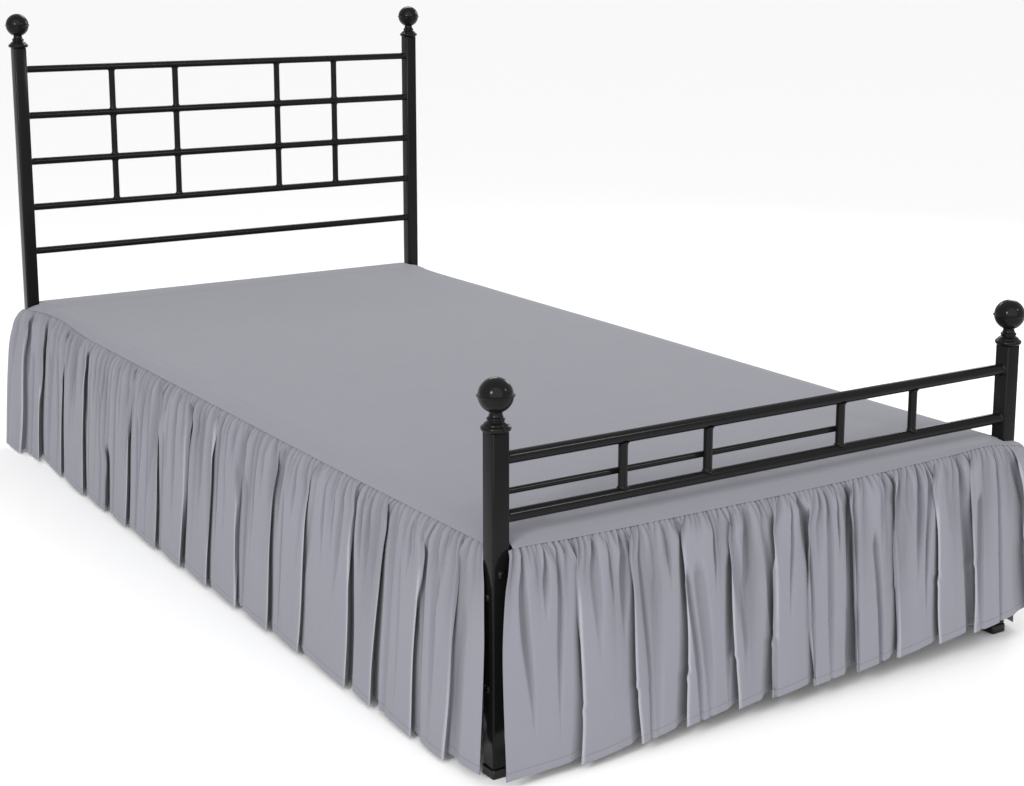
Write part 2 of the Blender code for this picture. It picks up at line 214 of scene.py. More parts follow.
# Frame
ROUND_STEPS = 48
WELD = ((0.0, 0.0026), (0.0008, 0.0016), (0.0018, 0.0008), (0.0032, 0.0002), (0.0050, 0.0))
POST_CORNER = 0.0032  # outer corner radius of the square tube
POST_RIM = ((0.0, 0.0018), (0.0006, 0.0006), (0.0018, 0.0))  # (below its top, inset)
CAP_CORNER = 0.0042
CAP_RIM = ((0.0, 0.0014), (0.0005, 0.0005), (0.0014, 0.0))
BALL = (0.050, 0.025)  # height of its middle above the post, and its radius
BALL_SEAM = ((-0.0016, 0.0), (-0.0011, 0.0014), (-0.0004, 0.0019), (0.0004, 0.0019), (0.0009, 0.0010))

# Finial below its ball: (height above the post, radius)
FINIAL_NECK = (
    (0.0000, 0.0150),
    (0.0003, 0.0188),
    (0.0018, 0.0208),
    (0.0045, 0.0218),
    (0.0072, 0.0208),
    (0.0086, 0.0186),
    (0.0092, 0.0174),
    (0.0108, 0.0170),
    (0.0132, 0.0138),
    (0.0146, 0.0118),
    (0.0158, 0.0121),
    (0.0172, 0.0131),
    (0.0188, 0.0128),
    (0.0202, 0.0108),
    (0.0220, 0.0098),
    (0.0245, 0.0093),
    (0.0268, 0.0093),
)

# Button-head bolt: (height above the post's face, radius) as shares of its height and radius
BOLT = (
    (0.00, 1.00),
    (0.25, 1.00),
    (0.34, 0.94),
    (0.62, 0.86),
    (0.86, 0.70),
    (1.00, 0.50),
    (0.97, 0.40),
    (0.45, 0.38),
    (0.40, 0.00),
)

FOLD_SWAY = 0.0035  # how far a fold sways sideways on its way down
FOLD_FALL = 0.0035  # how far the cloth falls back at a full fold, past the fold's own depth
FULL_FOLD = 0.010  # a fold's lap grows by its depth over this, and is full from 6.5 mm deep
LAP_BEHIND = (0.62, 0.0075)  # the bell behind a fold's mouth: share of the lap, half width
LAP_BEFORE = (0.42, 0.0055, 0.026)  # the bell at the edge: share, half width inside, and outside
GATHER_SHADE = 2.6  # how much more a gather shades than a fold of the same depth
CORNER_STEPS = 7  # points on a quarter of a square tube's round corner
WELD_SINK = 0.0006  # how far a bar's end lies inside what it is welded to
WELD_RIPPLE = (0.12, 11)  # the bead's ripple: share of its width, waves around
HEAD_RAIL_RADIUS = 0.008
FOOT_RAIL_RADIUS = 0.0095
STITCH_HEIGHT = 0.011  # the hem's stitch line above its edge
STITCH_HALF = 0.0007  # half the stitch line's width


def curve(rows, at, column):
    """A table's column at each place: a cubic through the rows, level with their neighbours' chord."""
    table = np.array(rows, float)
    x, y = table[:, 0], table[:, column]
    slope = np.gradient(y, x)
    at = np.clip(at, x[0], x[-1])
    i = np.clip(np.searchsorted(x, at, side="right") - 1, 0, len(x) - 2)
    step = x[i + 1] - x[i]
    t = (at - x[i]) / step
    ends = y[i] * (1 + 2 * t) * (1 - t) ** 2 + y[i + 1] * t**2 * (3 - 2 * t)
    return ends + step * (slope[i] * t * (1 - t) ** 2 - slope[i + 1] * t**2 * (1 - t))


def ease(share):
    """0 below 0 and 1 above 1, with a smooth S between."""
    share = np.clip(share, 0.0, 1.0)
    return share * share * (3 - 2 * share)


def spread(start, end, count, crowd):
    """count places from start to end, closest where crowd is largest: its running sum, turned round."""
    fine = np.linspace(start, end, 9000)
    total = np.concatenate([[0.0], np.cumsum(crowd(fine[1:]))])
    return np.interp(np.linspace(0.0, total[-1], count), total, fine)


def mesh_object(name, points, faces, uv=None):
    """A smooth-shaded mesh object from arrays of points and of faces with equal corner counts."""
    mesh = bpy.data.meshes.new(name)
    mesh.vertices.add(len(points))
    mesh.vertices.foreach_set("co", np.ascontiguousarray(points, np.float32).ravel())
    mesh.loops.add(faces.size)
    mesh.loops.foreach_set("vertex_index", np.ascontiguousarray(faces, np.int32).ravel())
    mesh.polygons.add(len(faces))
    starts = np.arange(0, faces.size, faces.shape[1], dtype=np.int32)
    mesh.polygons.foreach_set("loop_start", starts)
    mesh.update(calc_edges=True)
    if uv is not None:
        layer = mesh.uv_layers.new(name="cloth")
        corner = np.ascontiguousarray(uv[faces.ravel()], np.float32)
        layer.data.foreach_set("uv", corner.ravel())
    mesh.shade_smooth()
    obj = bpy.data.objects.new(name, mesh)
    bpy.context.scene.collection.objects.link(obj)
    return obj


def grid_faces(rows, columns, across=False, kept=None):
    """Quads of a grid of points, row by row; across joins its last column to its first."""
    index = np.arange(rows * columns).reshape(rows, columns)
    if across:
        index = np.concatenate([index, index[:, :1]], axis=1)
    quads = np.stack([index[:-1, :-1], index[:-1, 1:], index[1:, 1:], index[1:, :-1]], axis=-1)
    return quads.reshape(-1, 4) if kept is None else quads[kept]


def normals_of(points):
    """Unit normals of a grid of points: the cross product of its two directions' slopes."""
    normal = np.cross(np.gradient(points, axis=1), np.gradient(points, axis=0))
    return normal / np.linalg.norm(normal, axis=-1, keepdims=True)


def turned_back(points, inward, rows):
    """The grid with its last rows folded up behind it, HEM_GAP away: half a turn, then those rows again."""
    low, normal = points[-1], inward[-1]
    down = (points[-1] - points[-2]) / np.linalg.norm(points[-1] - points[-2], axis=-1, keepdims=True)
    half = HEM_GAP / 2
    turn = [
        low + half * (down * math.sin(angle) + normal * (1 - math.cos(angle)))
        for angle in (math.pi / 4, math.pi / 2, 3 * math.pi / 4)
    ]
    back = (points + inward * HEM_GAP)[-1 : -rows - 2 : -1]
    return np.concatenate([points, np.array(turn), back])


def near_ends(place, seam):
    """Two weights from 0 to 1: how near each place is to the drop's first and to its last end."""
    start, end = seam[0][0], seam[-1][0]
    first = np.clip(1 - (place - start) / END_WIDTH, 0.0, 1.0) ** 2
    last = np.clip(1 - (end - place) / END_WIDTH, 0.0, 1.0) ** 2
    return first, last


def fold_offsets(folds, place, down, kink):
    """Each point's place relative to each fold, which shifts and sways on its way down."""
    for i, (at, _, _, _, shift) in enumerate(folds):
        sway = FOLD_SWAY * np.sin(7.0 * down + 40.0 * at) * down
        yield place - (at + shift * down + sway + kink * (1 if i % 2 else -1))


def deep_folds(folds, place, down, kink, lap):
    """(distance out, distance along) that the deep folds add.

    The cloth falls back over a fold's mouth and runs on behind the next panel's edge, turns
    there and comes out again at the edge: two bells along the drop, one each way.
    """
    out, along = np.zeros_like(place), np.zeros_like(place)
    for row, off in zip(folds, fold_offsets(folds, place, down, kink)):
        _, mouth, depth, start, _ = row
        grown = ease((down - start + 0.02) / 0.16)
        wide = mouth * (0.6 + 0.6 * down)
        full = min(1.0, 0.35 + depth / FULL_FOLD)
        fall = ease((off + wide) / wide) * (1 - ease((off - 0.004) / (LIP - 0.004)))
        out -= (FOLD_FALL * full + depth * (0.6 + 0.4 * down)) * grown * fall
        behind = np.exp(-(((off - 0.001) / LAP_BEHIND[1]) ** 2))
        before = np.exp(-(((off - LIP) / np.where(off < LIP, *LAP_BEFORE[1:])) ** 2))
        along += lap * full * grown * (LAP_BEHIND[0] * behind - LAP_BEFORE[0] * before)
    return out, along


def rims(folds, place, down, kink):
    """1 along each edge that laps over a fold, fading out within 3 mm of it."""
    rim = np.zeros_like(place)
    for row, off in zip(folds, fold_offsets(folds, place, down, kink)):
        rim += ease((down - row[3]) / 0.16) * np.exp(-(((off - LIP - 0.002) / 0.0030) ** 2))
    return rim


def panels(folds, place, down, kink):
    """A sawtooth of height 1: it steps up from -1 to 1 at each fold's edge, then falls evenly."""
    walls = [place - off + 0.009 for off in fold_offsets(folds, place, down, kink)]
    edges = np.stack([place[:, 0] - 0.03, *[wall[:, 0] for wall in walls], place[:, -1] + 0.03], axis=1)
    counts = -2.0 * np.arange(edges.shape[1])
    total = np.array([np.interp(at, edge, counts) for at, edge in zip(place, edges)]) + 1
    for wall in walls:
        total += 2 * ease((place - wall) / 0.010 + 0.5)
    return total


def seeded_rows(seam, pitch, depth, seed):
    """Places along the seam a random pitch apart, each with a random depth and side drift."""
    random = np.random.default_rng(seed)
    place = seam[0][0] + np.cumsum(random.uniform(*pitch, 600))
    place = place[place < seam[-1][0]]
    return random, place, random.uniform(*depth, len(place)), random.normal(0.0, 1.0, len(place))


def gathers(seam, folds, place, below, seed, size):
    """Narrow valleys from the seam down, cusps that widen, fade, and lean into a fold close by."""
    pitch = [size * side for side in GATHER_PITCH]
    random, at, depth, drift = seeded_rows(seam, pitch, GATHER_DEPTH, seed)
    edges = np.array([row[0] for row in folds])
    aside = edges[np.abs(at[:, None] - edges).argmin(axis=1)] + 0.003 - at
    drift = GATHER_DRIFT * drift + 0.7 * aside * np.exp(-((aside / 0.022) ** 2))
    length = random.choice(GATHER_LENGTHS, len(at), p=GATHER_SHARES)
    length = length * random.uniform(0.7, 1.3, len(at))
    out = np.zeros_like(place)
    rise = 0.7 + 0.3 * (1 - np.exp(-below / 0.003))
    spent = 1 - np.exp(-below / 0.030)
    width = size * GATHER_WIDTH + 0.08 * np.minimum(below, 0.09)
    for row in zip(at, depth, length, drift):
        off = (place - row[0] - row[3] * spent) / width
        out -= row[1] * rise * np.exp(-((below / row[2]) ** 2)) * np.exp(-np.abs(off) ** 1.35)
    return out


def valleys(seam, place, down, seed):
    """Longer flat-bottomed valleys that drift, open on the way down and close to a point."""
    random, at, depth, drift = seeded_rows(seam, VALLEY_PITCH, VALLEY_DEPTH, seed)
    width = random.uniform(*VALLEY_WIDTH, len(at))
    lives = np.array(VALLEY_LIVES)[random.integers(len(VALLEY_LIVES), size=len(at))]
    lives = lives * random.uniform(0.8, 1.2, (len(at), 1))
    out = np.zeros_like(place)
    for row in zip(at, depth, width, drift, lives):
        life = ease((down - row[4][0] + 0.03) / 0.10) * (1 - ease((down / row[4][1] - 0.4) / 0.6))
        middle = row[0] + VALLEY_DRIFT * row[3] * ease(down / 0.8)
        off = (place - middle) / (row[2] * (0.45 + 0.55 * ease(down / 0.25)) * (0.3 + 0.7 * life))
        out -= row[1] * life * np.exp(-(np.where(off < 0, off * 0.8, off * 1.2) ** 4))
    return out


def drop_grid(seam, folds, hem, swing, lap, columns, seed, tuck=0.0, crease=None):
    """(place, distance out, height, inside its folds, above its hem) on the drop's grid, top row first."""
    edges = np.array([row[0] for row in folds])

    def crowd_across(at):
        return 1 + 2.0 * np.exp(-(((at[:, None] - edges - 0.006) / 0.018) ** 4)).max(axis=1)

    def crowd_down(at):
        return 1 + 9 * np.exp(-at / 0.05) + 4 * np.exp(-(1 - at) / 0.05)

    along = spread(seam[0][0], seam[-1][0], columns, crowd_across)
    place, down = np.meshgrid(along, spread(0.0, 1.0, DROP_ROWS, crowd_down))
    first, last = near_ends(place, seam)
    top = curve(seam, place, 2) - SEAM_TUCK[1]
    bottom = curve(hem, place, 1)
    kink = np.zeros_like(place)
    if crease:
        line = (curve(crease, place, 1) - top - (bottom - top) * down) / CREASE_WIDTH
        kink = CREASE_KINK * line * np.exp(0.5 - line**2 / 2)
    saw = panels(folds, place, down, kink)
    bottom = bottom - HEM_DIP * saw
    below = (top - bottom) * down
    out = curve(seam, place, 1) - SEAM_TUCK[0] + curve(HANG, down, 1) * (1 - tuck * first)
    recess, shift = deep_folds(folds, place, down, kink, lap)
    out += recess + ease(down / 0.15) * (0.4 + 0.6 * down) * SAWTOOTH * saw
    out += down * SWELL * (1 - saw**2)
    calm = 1 - 0.8 * np.sqrt(last)
    fine = calm * gathers(seam, folds, place, below, seed, 1.0 if crease else SIDE_GATHER)
    long = calm * valleys(seam, place, down, seed + 1)
    out += fine + long
    if crease:
        out -= CREASE_DEPTH * np.exp(-(line**2))
    ramp = 1 - (1 - down) ** 5
    moved = place + shift + ramp * (swing[0] * first + swing[1] * last)
    # painted shade and painted highlight: how deep each point lies in its folds and gathers darkens the
    # cloth, and the value drops along each edge that laps over a fold, which pales it
    inside = -(recess + long + GATHER_SHADE * fine) - RIM_HIGHLIGHT * rims(folds, place, down, kink)
    return moved, out, top - below, inside, top - bottom - below


def drop(name, grid, to_world, flip):
    """A drop from its grid: bent to its side of the bed, its hem turned up behind it."""
    place, out, height, inside, above = grid
    points = to_world(place, out, height)
    if flip:
        points, inside, above = points[:, ::-1], inside[:, ::-1], above[:, ::-1]
    inward = -normals_of(points)
    points = turned_back(points, inward, HEM_ROWS)
    rows, columns = points.shape[:2]
    steps = np.linalg.norm(np.diff(points[DROP_ROWS // 2], axis=0), axis=-1)
    along = np.concatenate([[0.0], np.cumsum(steps)])
    drops = np.linalg.norm(np.diff(points[:, columns // 2], axis=0), axis=-1)
    fall = np.concatenate([[0.0], np.cumsum(drops)])
    uv = np.stack(np.meshgrid(along, -fall), axis=-1).reshape(-1, 2)
    piece = mesh_object(name, points.reshape(-1, 3), grid_faces(rows, columns)[:, ::-1], uv)
    for label, values in (("inside_fold", inside), ("above_hem", above)):
        values = np.concatenate([values, np.repeat(values[-1:], rows - DROP_ROWS, axis=0)])
        layer = piece.data.attributes.new(label, "FLOAT", "POINT")
        layer.data.foreach_set("value", np.ascontiguousarray(values, np.float32).ravel())
    return piece


def to_left(place, out, height):
    return np.stack([-out, place, height], axis=-1)


def to_right(place, out, height):
    return np.stack([out, place, height], axis=-1)


def to_foot(place, out, height):
    return np.stack([place, -out, height], axis=-1)


def deck_panel():
    """The top panel: flat, rolled down by the square of the way out along both sides and the foot."""
    roll = np.concatenate([[1.0], np.linspace(0.985, 0.04, 18)])
    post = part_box("post_foot_right"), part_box("post_head_right")
    slit_x = post[0][0].x - NOTCH
    slits_y = [post[0][0].y - NOTCH, post[0][1].y + NOTCH, post[1][0].y - NOTCH]
    flat_x = np.linspace(-DECK_FLAT_X, DECK_FLAT_X, 90)
    flat_y = np.sort(np.append(np.linspace(DECK_FLAT_FOOT, DECK_HEAD, 190), slits_y[2]))
    over_side = np.concatenate([roll, np.zeros_like(flat_x), roll[::-1]])
    over_foot = np.concatenate([roll, np.zeros_like(flat_y)])
    x = np.concatenate([np.full(len(roll), -DECK_FLAT_X), flat_x, np.full(len(roll), DECK_FLAT_X)])
    y = np.concatenate([np.full(len(roll), DECK_FLAT_FOOT), flat_y])
    over_side, over_foot = np.meshgrid(over_side, over_foot)
    x, y = np.meshgrid(x, y)
    edge = curve(SIDE_SEAM, y, 1) - DECK_FLAT_X
    fall = (DECK_TOP - curve(SIDE_SEAM, y, 2)) * over_side**2
    x = x + np.sign(x) * over_side * edge + (x > 0) * DECK_TAIL * over_side * over_foot
    edge = curve(FOOT_SEAM, x, 1) + DECK_FLAT_FOOT
    fall = np.maximum(fall, (DECK_TOP - curve(FOOT_SEAM, x, 2)) * over_foot**2)
    y = y - over_foot * edge
    inside = np.minimum(curve(SIDE_SEAM, y, 1) - np.abs(x), curve(FOOT_SEAM, x, 1) + y)
    fall = fall + BAND_DEPTH * np.exp(-(((inside - BAND_INSIDE) / BAND_WIDTH) ** 2))
    points = np.stack([x, y, DECK_TOP - CLOTH / 2 - fall], axis=-1)
    middle = (points[:-1, :-1] + points[1:, 1:]) / 2
    mx, my = middle[..., 0], middle[..., 1]
    outside = np.abs(mx) > slit_x
    left_foot = (mx < -slit_x) & (my < slits_y[1])
    right_foot = (mx > slit_x) & (my > slits_y[0]) & (my < slits_y[1])
    kept = ~(left_foot | right_foot | (outside & (my > slits_y[2])))
    panel = mesh_object("deck_panel", points.reshape(-1, 3), grid_faces(*x.shape, kept=kept))
    bare = bmesh.new()
    bare.from_mesh(panel.data)
    loose = [v for v in bare.verts if not v.link_faces]
    bmesh.ops.delete(bare, geom=loose, context="VERTS")
    bare.to_mesh(panel.data)
    bare.free()
    wall = panel.modifiers.new("cloth", "SOLIDIFY")
    wall.thickness = CLOTH
    wall.offset = 0.0
    return panel


def ring_grid(rows):
    """Points and faces of a closed tube of rings, each an array of as many points."""
    points = np.array(rows)
    return points.reshape(-1, 3), grid_faces(points.shape[0], points.shape[1], across=True)


def joined(name, shapes):
    """One object of several shapes, its coincident points merged and its faces turned outwards."""
    faces, count = [], 0
    for points, quads in shapes:
        faces.append(quads + count)
        count += len(points)
    piece = mesh_object(name, np.concatenate([points for points, _ in shapes]), np.concatenate(faces))
    whole = bmesh.new()
    whole.from_mesh(piece.data)
    bmesh.ops.remove_doubles(whole, verts=whole.verts, dist=2e-6)
    bmesh.ops.recalc_face_normals(whole, faces=whole.faces)
    whole.to_mesh(piece.data)
    whole.free()
    piece.data.set_sharp_from_angle(angle=math.radians(40))
    return piece


def turned(profile, centre, axis="z", sign=1.0):
    """A profile of (height, radius) turned about an axis through centre."""
    angle = np.linspace(0, 2 * math.pi, ROUND_STEPS, endpoint=False)
    rows = []
    for height, radius in profile:
        ring = {
            "z": (radius * np.cos(angle), radius * np.sin(angle), np.full_like(angle, sign * height)),
            "y": (radius * np.cos(angle), np.full_like(angle, sign * height), radius * np.sin(angle)),
            "x": (np.full_like(angle, sign * height), radius * np.cos(angle), radius * np.sin(angle)),
        }[axis]
        rows.append(np.stack(ring, axis=-1) + np.array(centre))
    return ring_grid(rows)


def rounded(profile, times):
    """The profile with its corners cut that many times, a quarter of each side from each end."""
    for _ in range(times):
        line = np.array(profile)
        cut = np.stack([0.75 * line[:-1] + 0.25 * line[1:], 0.25 * line[:-1] + 0.75 * line[1:]], axis=1)
        profile = np.concatenate([line[:1], cut.reshape(-1, 2), line[-1:]])
    return [tuple(row) for row in profile]


def finial_profile():
    """The neck's profile, then the ball's two halves with the raised seam between them."""
    middle, radius = BALL
    angles = np.radians(np.linspace(-67, -5, 22))
    lower = [(middle + radius * math.sin(a), radius * math.cos(a)) for a in angles]
    seam = [(middle + up, radius + out) for up, out in BALL_SEAM]
    angles = np.radians(np.linspace(3, 90, 30))
    upper = [(middle + radius * math.sin(a), radius * math.cos(a)) for a in angles]
    return [(0.0, 0.0), *rounded(FINIAL_NECK, 2), *lower, *seam, *upper]


def square_post(low, high, corner, eased, x, y):
    """A square tube with round corners, standing on end, its rims eased: rings of one section."""
    half = (high[0] - low[0]) / 2
    steps = np.radians(np.linspace(0, 90, CORNER_STEPS))
    quarter = np.stack([np.cos(steps), np.sin(steps)], axis=-1)
    turn = np.array([[0.0, 1.0], [-1.0, 0.0]])
    corners, square = [], np.array([1.0, 1.0])
    for _ in range(4):
        corners.append((square, quarter))
        square, quarter = square @ turn, quarter @ turn
    bottom_rim, top_rim = eased
    around = 4 * CORNER_STEPS
    heights = [(low[2] + up, inset) for up, inset in bottom_rim]
    heights += [(high[2] - down, inset) for down, inset in reversed(top_rim)]
    rows = [np.tile([x, y, low[2]], (around, 1))]
    for height, inset in heights:
        flat = np.concatenate([(half - corner) * s + (corner - inset) * q for s, q in corners])
        rows.append(np.column_stack([flat + [x, y], np.full(len(flat), height)]))
    rows.append(np.tile([x, y, high[2]], (around, 1)))
    return ring_grid(rows)


def welded_bar(start, end, radius, axis, crossed):
    """A round bar with a concave weld at each end.

    crossed holds, per end, the radius of the round bar it lands on, or 0 for a flat face. An end
    on a bar of radius R is a saddle: it lies sqrt(R^2 - y^2) from that bar's axis at the offset y.
    """
    angle = np.linspace(0, 2 * math.pi, ROUND_STEPS, endpoint=False)
    across, up = radius * np.cos(angle), radius * np.sin(angle)
    rows = []
    ends = []
    for place, onto, sign in ((start, crossed[0], 1.0), (end, crossed[1], -1.0)):
        saddle = np.sqrt(np.maximum(onto**2 - across**2, 0.0)) if onto else np.zeros_like(angle)
        ends.append(place + sign * (saddle - WELD_SINK))
    for away, wider in WELD:
        rows.append((ends[0] + away, wider))
    for away, wider in reversed(WELD):
        rows.append((ends[1] - away, wider))
    grids = []
    for along, wider in rows:
        bead = 1 + (wider / radius) * (1 + WELD_RIPPLE[0] * np.sin(WELD_RIPPLE[1] * angle))
        grids.append((along, across * bead, up * bead))
    if axis == "z":
        rings = [np.stack([u, v, w], axis=-1) for w, v, u in grids]
    else:
        rings = [np.stack([w, v, u], axis=-1) for w, v, u in grids]
    return rings


def box_of(name):
    low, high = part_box(name)
    return np.array(low), np.array(high)


def upright_bars(names, onto):
    """Upright round bars between two rails: each stands on the axes of the rails beside it."""
    shapes = []
    for name in names:
        low, high = box_of(name)
        middle = (low + high) / 2
        radius = (high[0] - low[0]) / 2
        rings = welded_bar(low[2] - onto, high[2] + onto, radius, "z", (onto, onto))
        shapes.append(ring_grid([ring + [middle[0], middle[1], 0.0] for ring in rings]))
    return shapes


def level_bars(names):
    """Level round bars from post to post, along X."""
    shapes = []
    for name in names:
        low, high = box_of(name)
        middle = (low + high) / 2
        radius = (high[2] - low[2]) / 2
        rings = welded_bar(low[0], high[0], radius, "x", (0, 0))
        shapes.append(ring_grid([ring + [0.0, middle[1], middle[2]] for ring in rings]))
    return shapes


def bolt_heads():
    """The bolt heads: each stands on its post's face and points away from the bed."""
    shapes = []
    for side, sign in (("left", -1.0), ("right", 1.0)):
        for i in (1, 2, 3):
            low, high = box_of(f"bolt_{side}_{i}")
            size, middle = high - low, (low + high) / 2
            axis = "y" if size[1] < size[0] else "x"
            k = "xyz".index(axis)
            radius, height = size[2] / 2, size[k]
            out = -1.0 if axis == "y" else sign
            middle[k] = high[k] if out < 0 else low[k]
            profile = [(0.0, 0.0), *[(h * height, r * radius) for h, r in BOLT]]
            shapes.append(turned(profile, middle, axis, out))
    return shapes


def frame_pieces():
    """The visible frame: (piece, the CAD nodes it stands for, its slot)."""
    corners = [f"{end}_{side}" for end in ("foot", "head") for side in ("left", "right")]
    posts, caps, finials = [], [], []
    for corner in corners:
        low, high = box_of(f"post_{corner}")
        x, y = (low[:2] + high[:2]) / 2
        posts.append(square_post(low, high, POST_CORNER, (POST_RIM, POST_RIM), x, y))
        finials.append(turned(finial_profile(), (x, y, high[2])))
        low, high = box_of(f"foot_cap_{corner}")
        caps.append(square_post(low, high, CAP_CORNER, (CAP_RIM, CAP_RIM), x, y))
    rails = [f"head_rail_{i}" for i in range(1, 6)]
    uprights = [f"head_upright_{i}_{j}" for i in (1, 2, 3) for j in (1, 2, 3, 4)]
    balusters = [f"baluster_{i}" for i in range(1, 5)]
    coat = "black_powder_coat"
    bolt_nodes = [f"bolt_{side}_{i}" for side in ("left", "right") for i in (1, 2, 3)]
    return [
        (joined("posts", posts), [f"post_{c}" for c in corners], coat),
        (joined("finials", finials), [f"finial_{c}" for c in corners], coat),
        (joined("feet", caps), [f"foot_cap_{c}" for c in corners], "foot_plastic"),
        (joined("bolts", bolt_heads()), bolt_nodes, coat),
        (joined("head_rails", level_bars(rails)), rails, coat),
        (joined("head_uprights", upright_bars(uprights, HEAD_RAIL_RADIUS)), uprights, coat),
        (joined("foot_rails", level_bars(["foot_rail_high", "foot_rail_low"])),
         ["foot_rail_high", "foot_rail_low"], coat),
        (joined("balusters", upright_bars(balusters, FOOT_RAIL_RADIUS)), balusters, coat),
        (joined("stop_bar", level_bars(["stop_bar"])), ["stop_bar"], coat),
    ]


def linear(colour):
    """sRGB hex to linear RGBA."""
    value = np.array([int(colour[i : i + 2], 16) for i in (1, 3, 5)]) / 255
    value = np.where(value <= 0.04045, value / 12.92, ((value + 0.055) / 1.055) ** 2.4)
    return (*value.tolist(), 1.0)


def node(tree, kind, links=None, **settings):
    """Adds a node; settings are its properties or its inputs' values, links its inputs' sources."""
    made = tree.nodes.new(kind)
    for key, value in settings.items():
        socket = key.replace("_", " ")
        if socket in made.inputs.keys():
            made.inputs[socket].default_value = value
        else:
            setattr(made, key, value)
    for key, source in (links or {}).items():
        tree.links.new(source, made.inputs[key])
    return made


def mixed(tree, share, first, second):
    """The output of a colour mix; first and second are colours or sources."""
    made = tree.nodes.new("ShaderNodeMix")
    made.data_type = "RGBA"
    tree.links.new(share, made.inputs["Factor"])
    for key, value in (("A", first), ("B", second)):
        socket = next(i for i in made.inputs if i.name == key and i.type == "RGBA")
        if isinstance(value, tuple):
            socket.default_value = value
        else:
            tree.links.new(value, socket)
    return next(o for o in made.outputs if o.type == "RGBA")


def material(name):
    made = bpy.data.materials.new(name)
    made.use_nodes = True
    return made, made.node_tree, made.node_tree.nodes["Principled BSDF"]


def microfibre():
    """Brushed polyester microfibre: matt, with a short nap, with painted shade where it is folded in and a
    painted highlight along the edges that lap over its folds.

    The noises' scales are repeats a metre: the nap repeats at 1.5 mm, the crumples at 36 mm, the
    tone at 110 mm, and the streaks at 12 mm across and 200 mm down the cloth.
    """
    made, tree, shader = material("brushed_microfibre")
    # the attribute that carries the painted shade in the folds and the painted highlight along their edges
    folded = node(tree, "ShaderNodeAttribute", attribute_name="inside_fold")
    depth = node(tree, "ShaderNodeMapRange", {"Value": folded.outputs["Fac"]}, From_Max=0.012, To_Max=0.28)
    place = node(tree, "ShaderNodeTexCoord")
    cloud = node(tree, "ShaderNodeTexNoise", {"Vector": place.outputs["Object"]}, Scale=9.0, Detail=4.0)
    tone = node(tree, "ShaderNodeMapRange", {"Value": cloud.outputs["Fac"]}, To_Min=0.0, To_Max=0.5)
    plain = mixed(tree, tone.outputs["Result"], linear("#7e7f88"), linear("#767781"))
    cloth = node(tree, "ShaderNodeUVMap", uv_map="cloth")
    wide = node(tree, "ShaderNodeMapping", {"Vector": cloth.outputs["UV"]}, Scale=(85.0, 5.0, 1.0))
    streak = node(tree, "ShaderNodeTexNoise", {"Vector": wide.outputs["Vector"]}, Scale=1.0, Detail=3.0)
    worn = node(
        tree,
        "ShaderNodeMapRange",
        {"Value": streak.outputs["Fac"]},
        From_Min=0.3,
        From_Max=0.7,
        To_Max=0.4,
    )
    plain = mixed(tree, worn.outputs["Result"], plain, linear("#7a7a7d"))
    hem = node(tree, "ShaderNodeAttribute", attribute_name="above_hem")
    stitch = node(tree, "ShaderNodeMath", {0: hem.outputs["Fac"]}, operation="COMPARE")
    stitch.inputs[1].default_value = STITCH_HEIGHT
    stitch.inputs[2].default_value = STITCH_HALF
    seam = node(tree, "ShaderNodeMapRange", {"Value": stitch.outputs["Value"]}, To_Max=0.45)
    plain = mixed(tree, seam.outputs["Result"], plain, linear("#55565c"))
    # painted highlight: paler towards #a3a4aa along each edge that laps over a fold, where "inside_fold"
    # falls below zero
    edge = node(tree, "ShaderNodeMapRange", {"Value": folded.outputs["Fac"]}, From_Max=-0.006, To_Max=0.7)
    plain = mixed(tree, edge.outputs["Result"], plain, linear("#a3a4aa"))
    # painted shade: darker towards #3d3d3e the deeper the cloth lies in its folds and gathers
    colour = mixed(tree, depth.outputs["Result"], plain, linear("#3d3d3e"))
    tree.links.new(colour, shader.inputs["Base Color"])
    nap = node(tree, "ShaderNodeTexNoise", {"Vector": place.outputs["Object"]}, Scale=650.0, Detail=3.0)
    crumple = node(tree, "ShaderNodeTexNoise", {"Vector": place.outputs["Object"]}, Scale=28.0, Detail=3.0)
    soft = node(tree, "ShaderNodeBump", {"Height": crumple.outputs["Fac"]}, Strength=0.25, Distance=0.004)
    bump = node(
        tree,
        "ShaderNodeBump",
        {"Height": nap.outputs["Fac"], "Normal": soft.outputs["Normal"]},
        Strength=0.30,
        Distance=0.0008,
    )
    tree.links.new(bump.outputs["Normal"], shader.inputs["Normal"])
    shader.inputs["Roughness"].default_value = 0.92
    shader.inputs["Specular IOR Level"].default_value = 0.2
    shader.inputs["Sheen Weight"].default_value = 0.15
    shader.inputs["Sheen Roughness"].default_value = 0.5
    return made


def powder_coat():
    """Gloss black polyester powder coat on steel tube: smooth, with a faint orange peel."""
    made, tree, shader = material("gloss_black_powder_coat")
    shader.inputs["Base Color"].default_value = linear("#131313")
    shader.inputs["Roughness"].default_value = 0.13
    shader.inputs["Specular IOR Level"].default_value = 0.12
    place = node(tree, "ShaderNodeTexCoord")
    peel = node(tree, "ShaderNodeTexNoise", {"Vector": place.outputs["Object"]}, Scale=420.0, Detail=2.0)
    bump = node(tree, "ShaderNodeBump", {"Height": peel.outputs["Fac"]}, Strength=0.02, Distance=0.0004)
    tree.links.new(bump.outputs["Normal"], shader.inputs["Normal"])
    return made


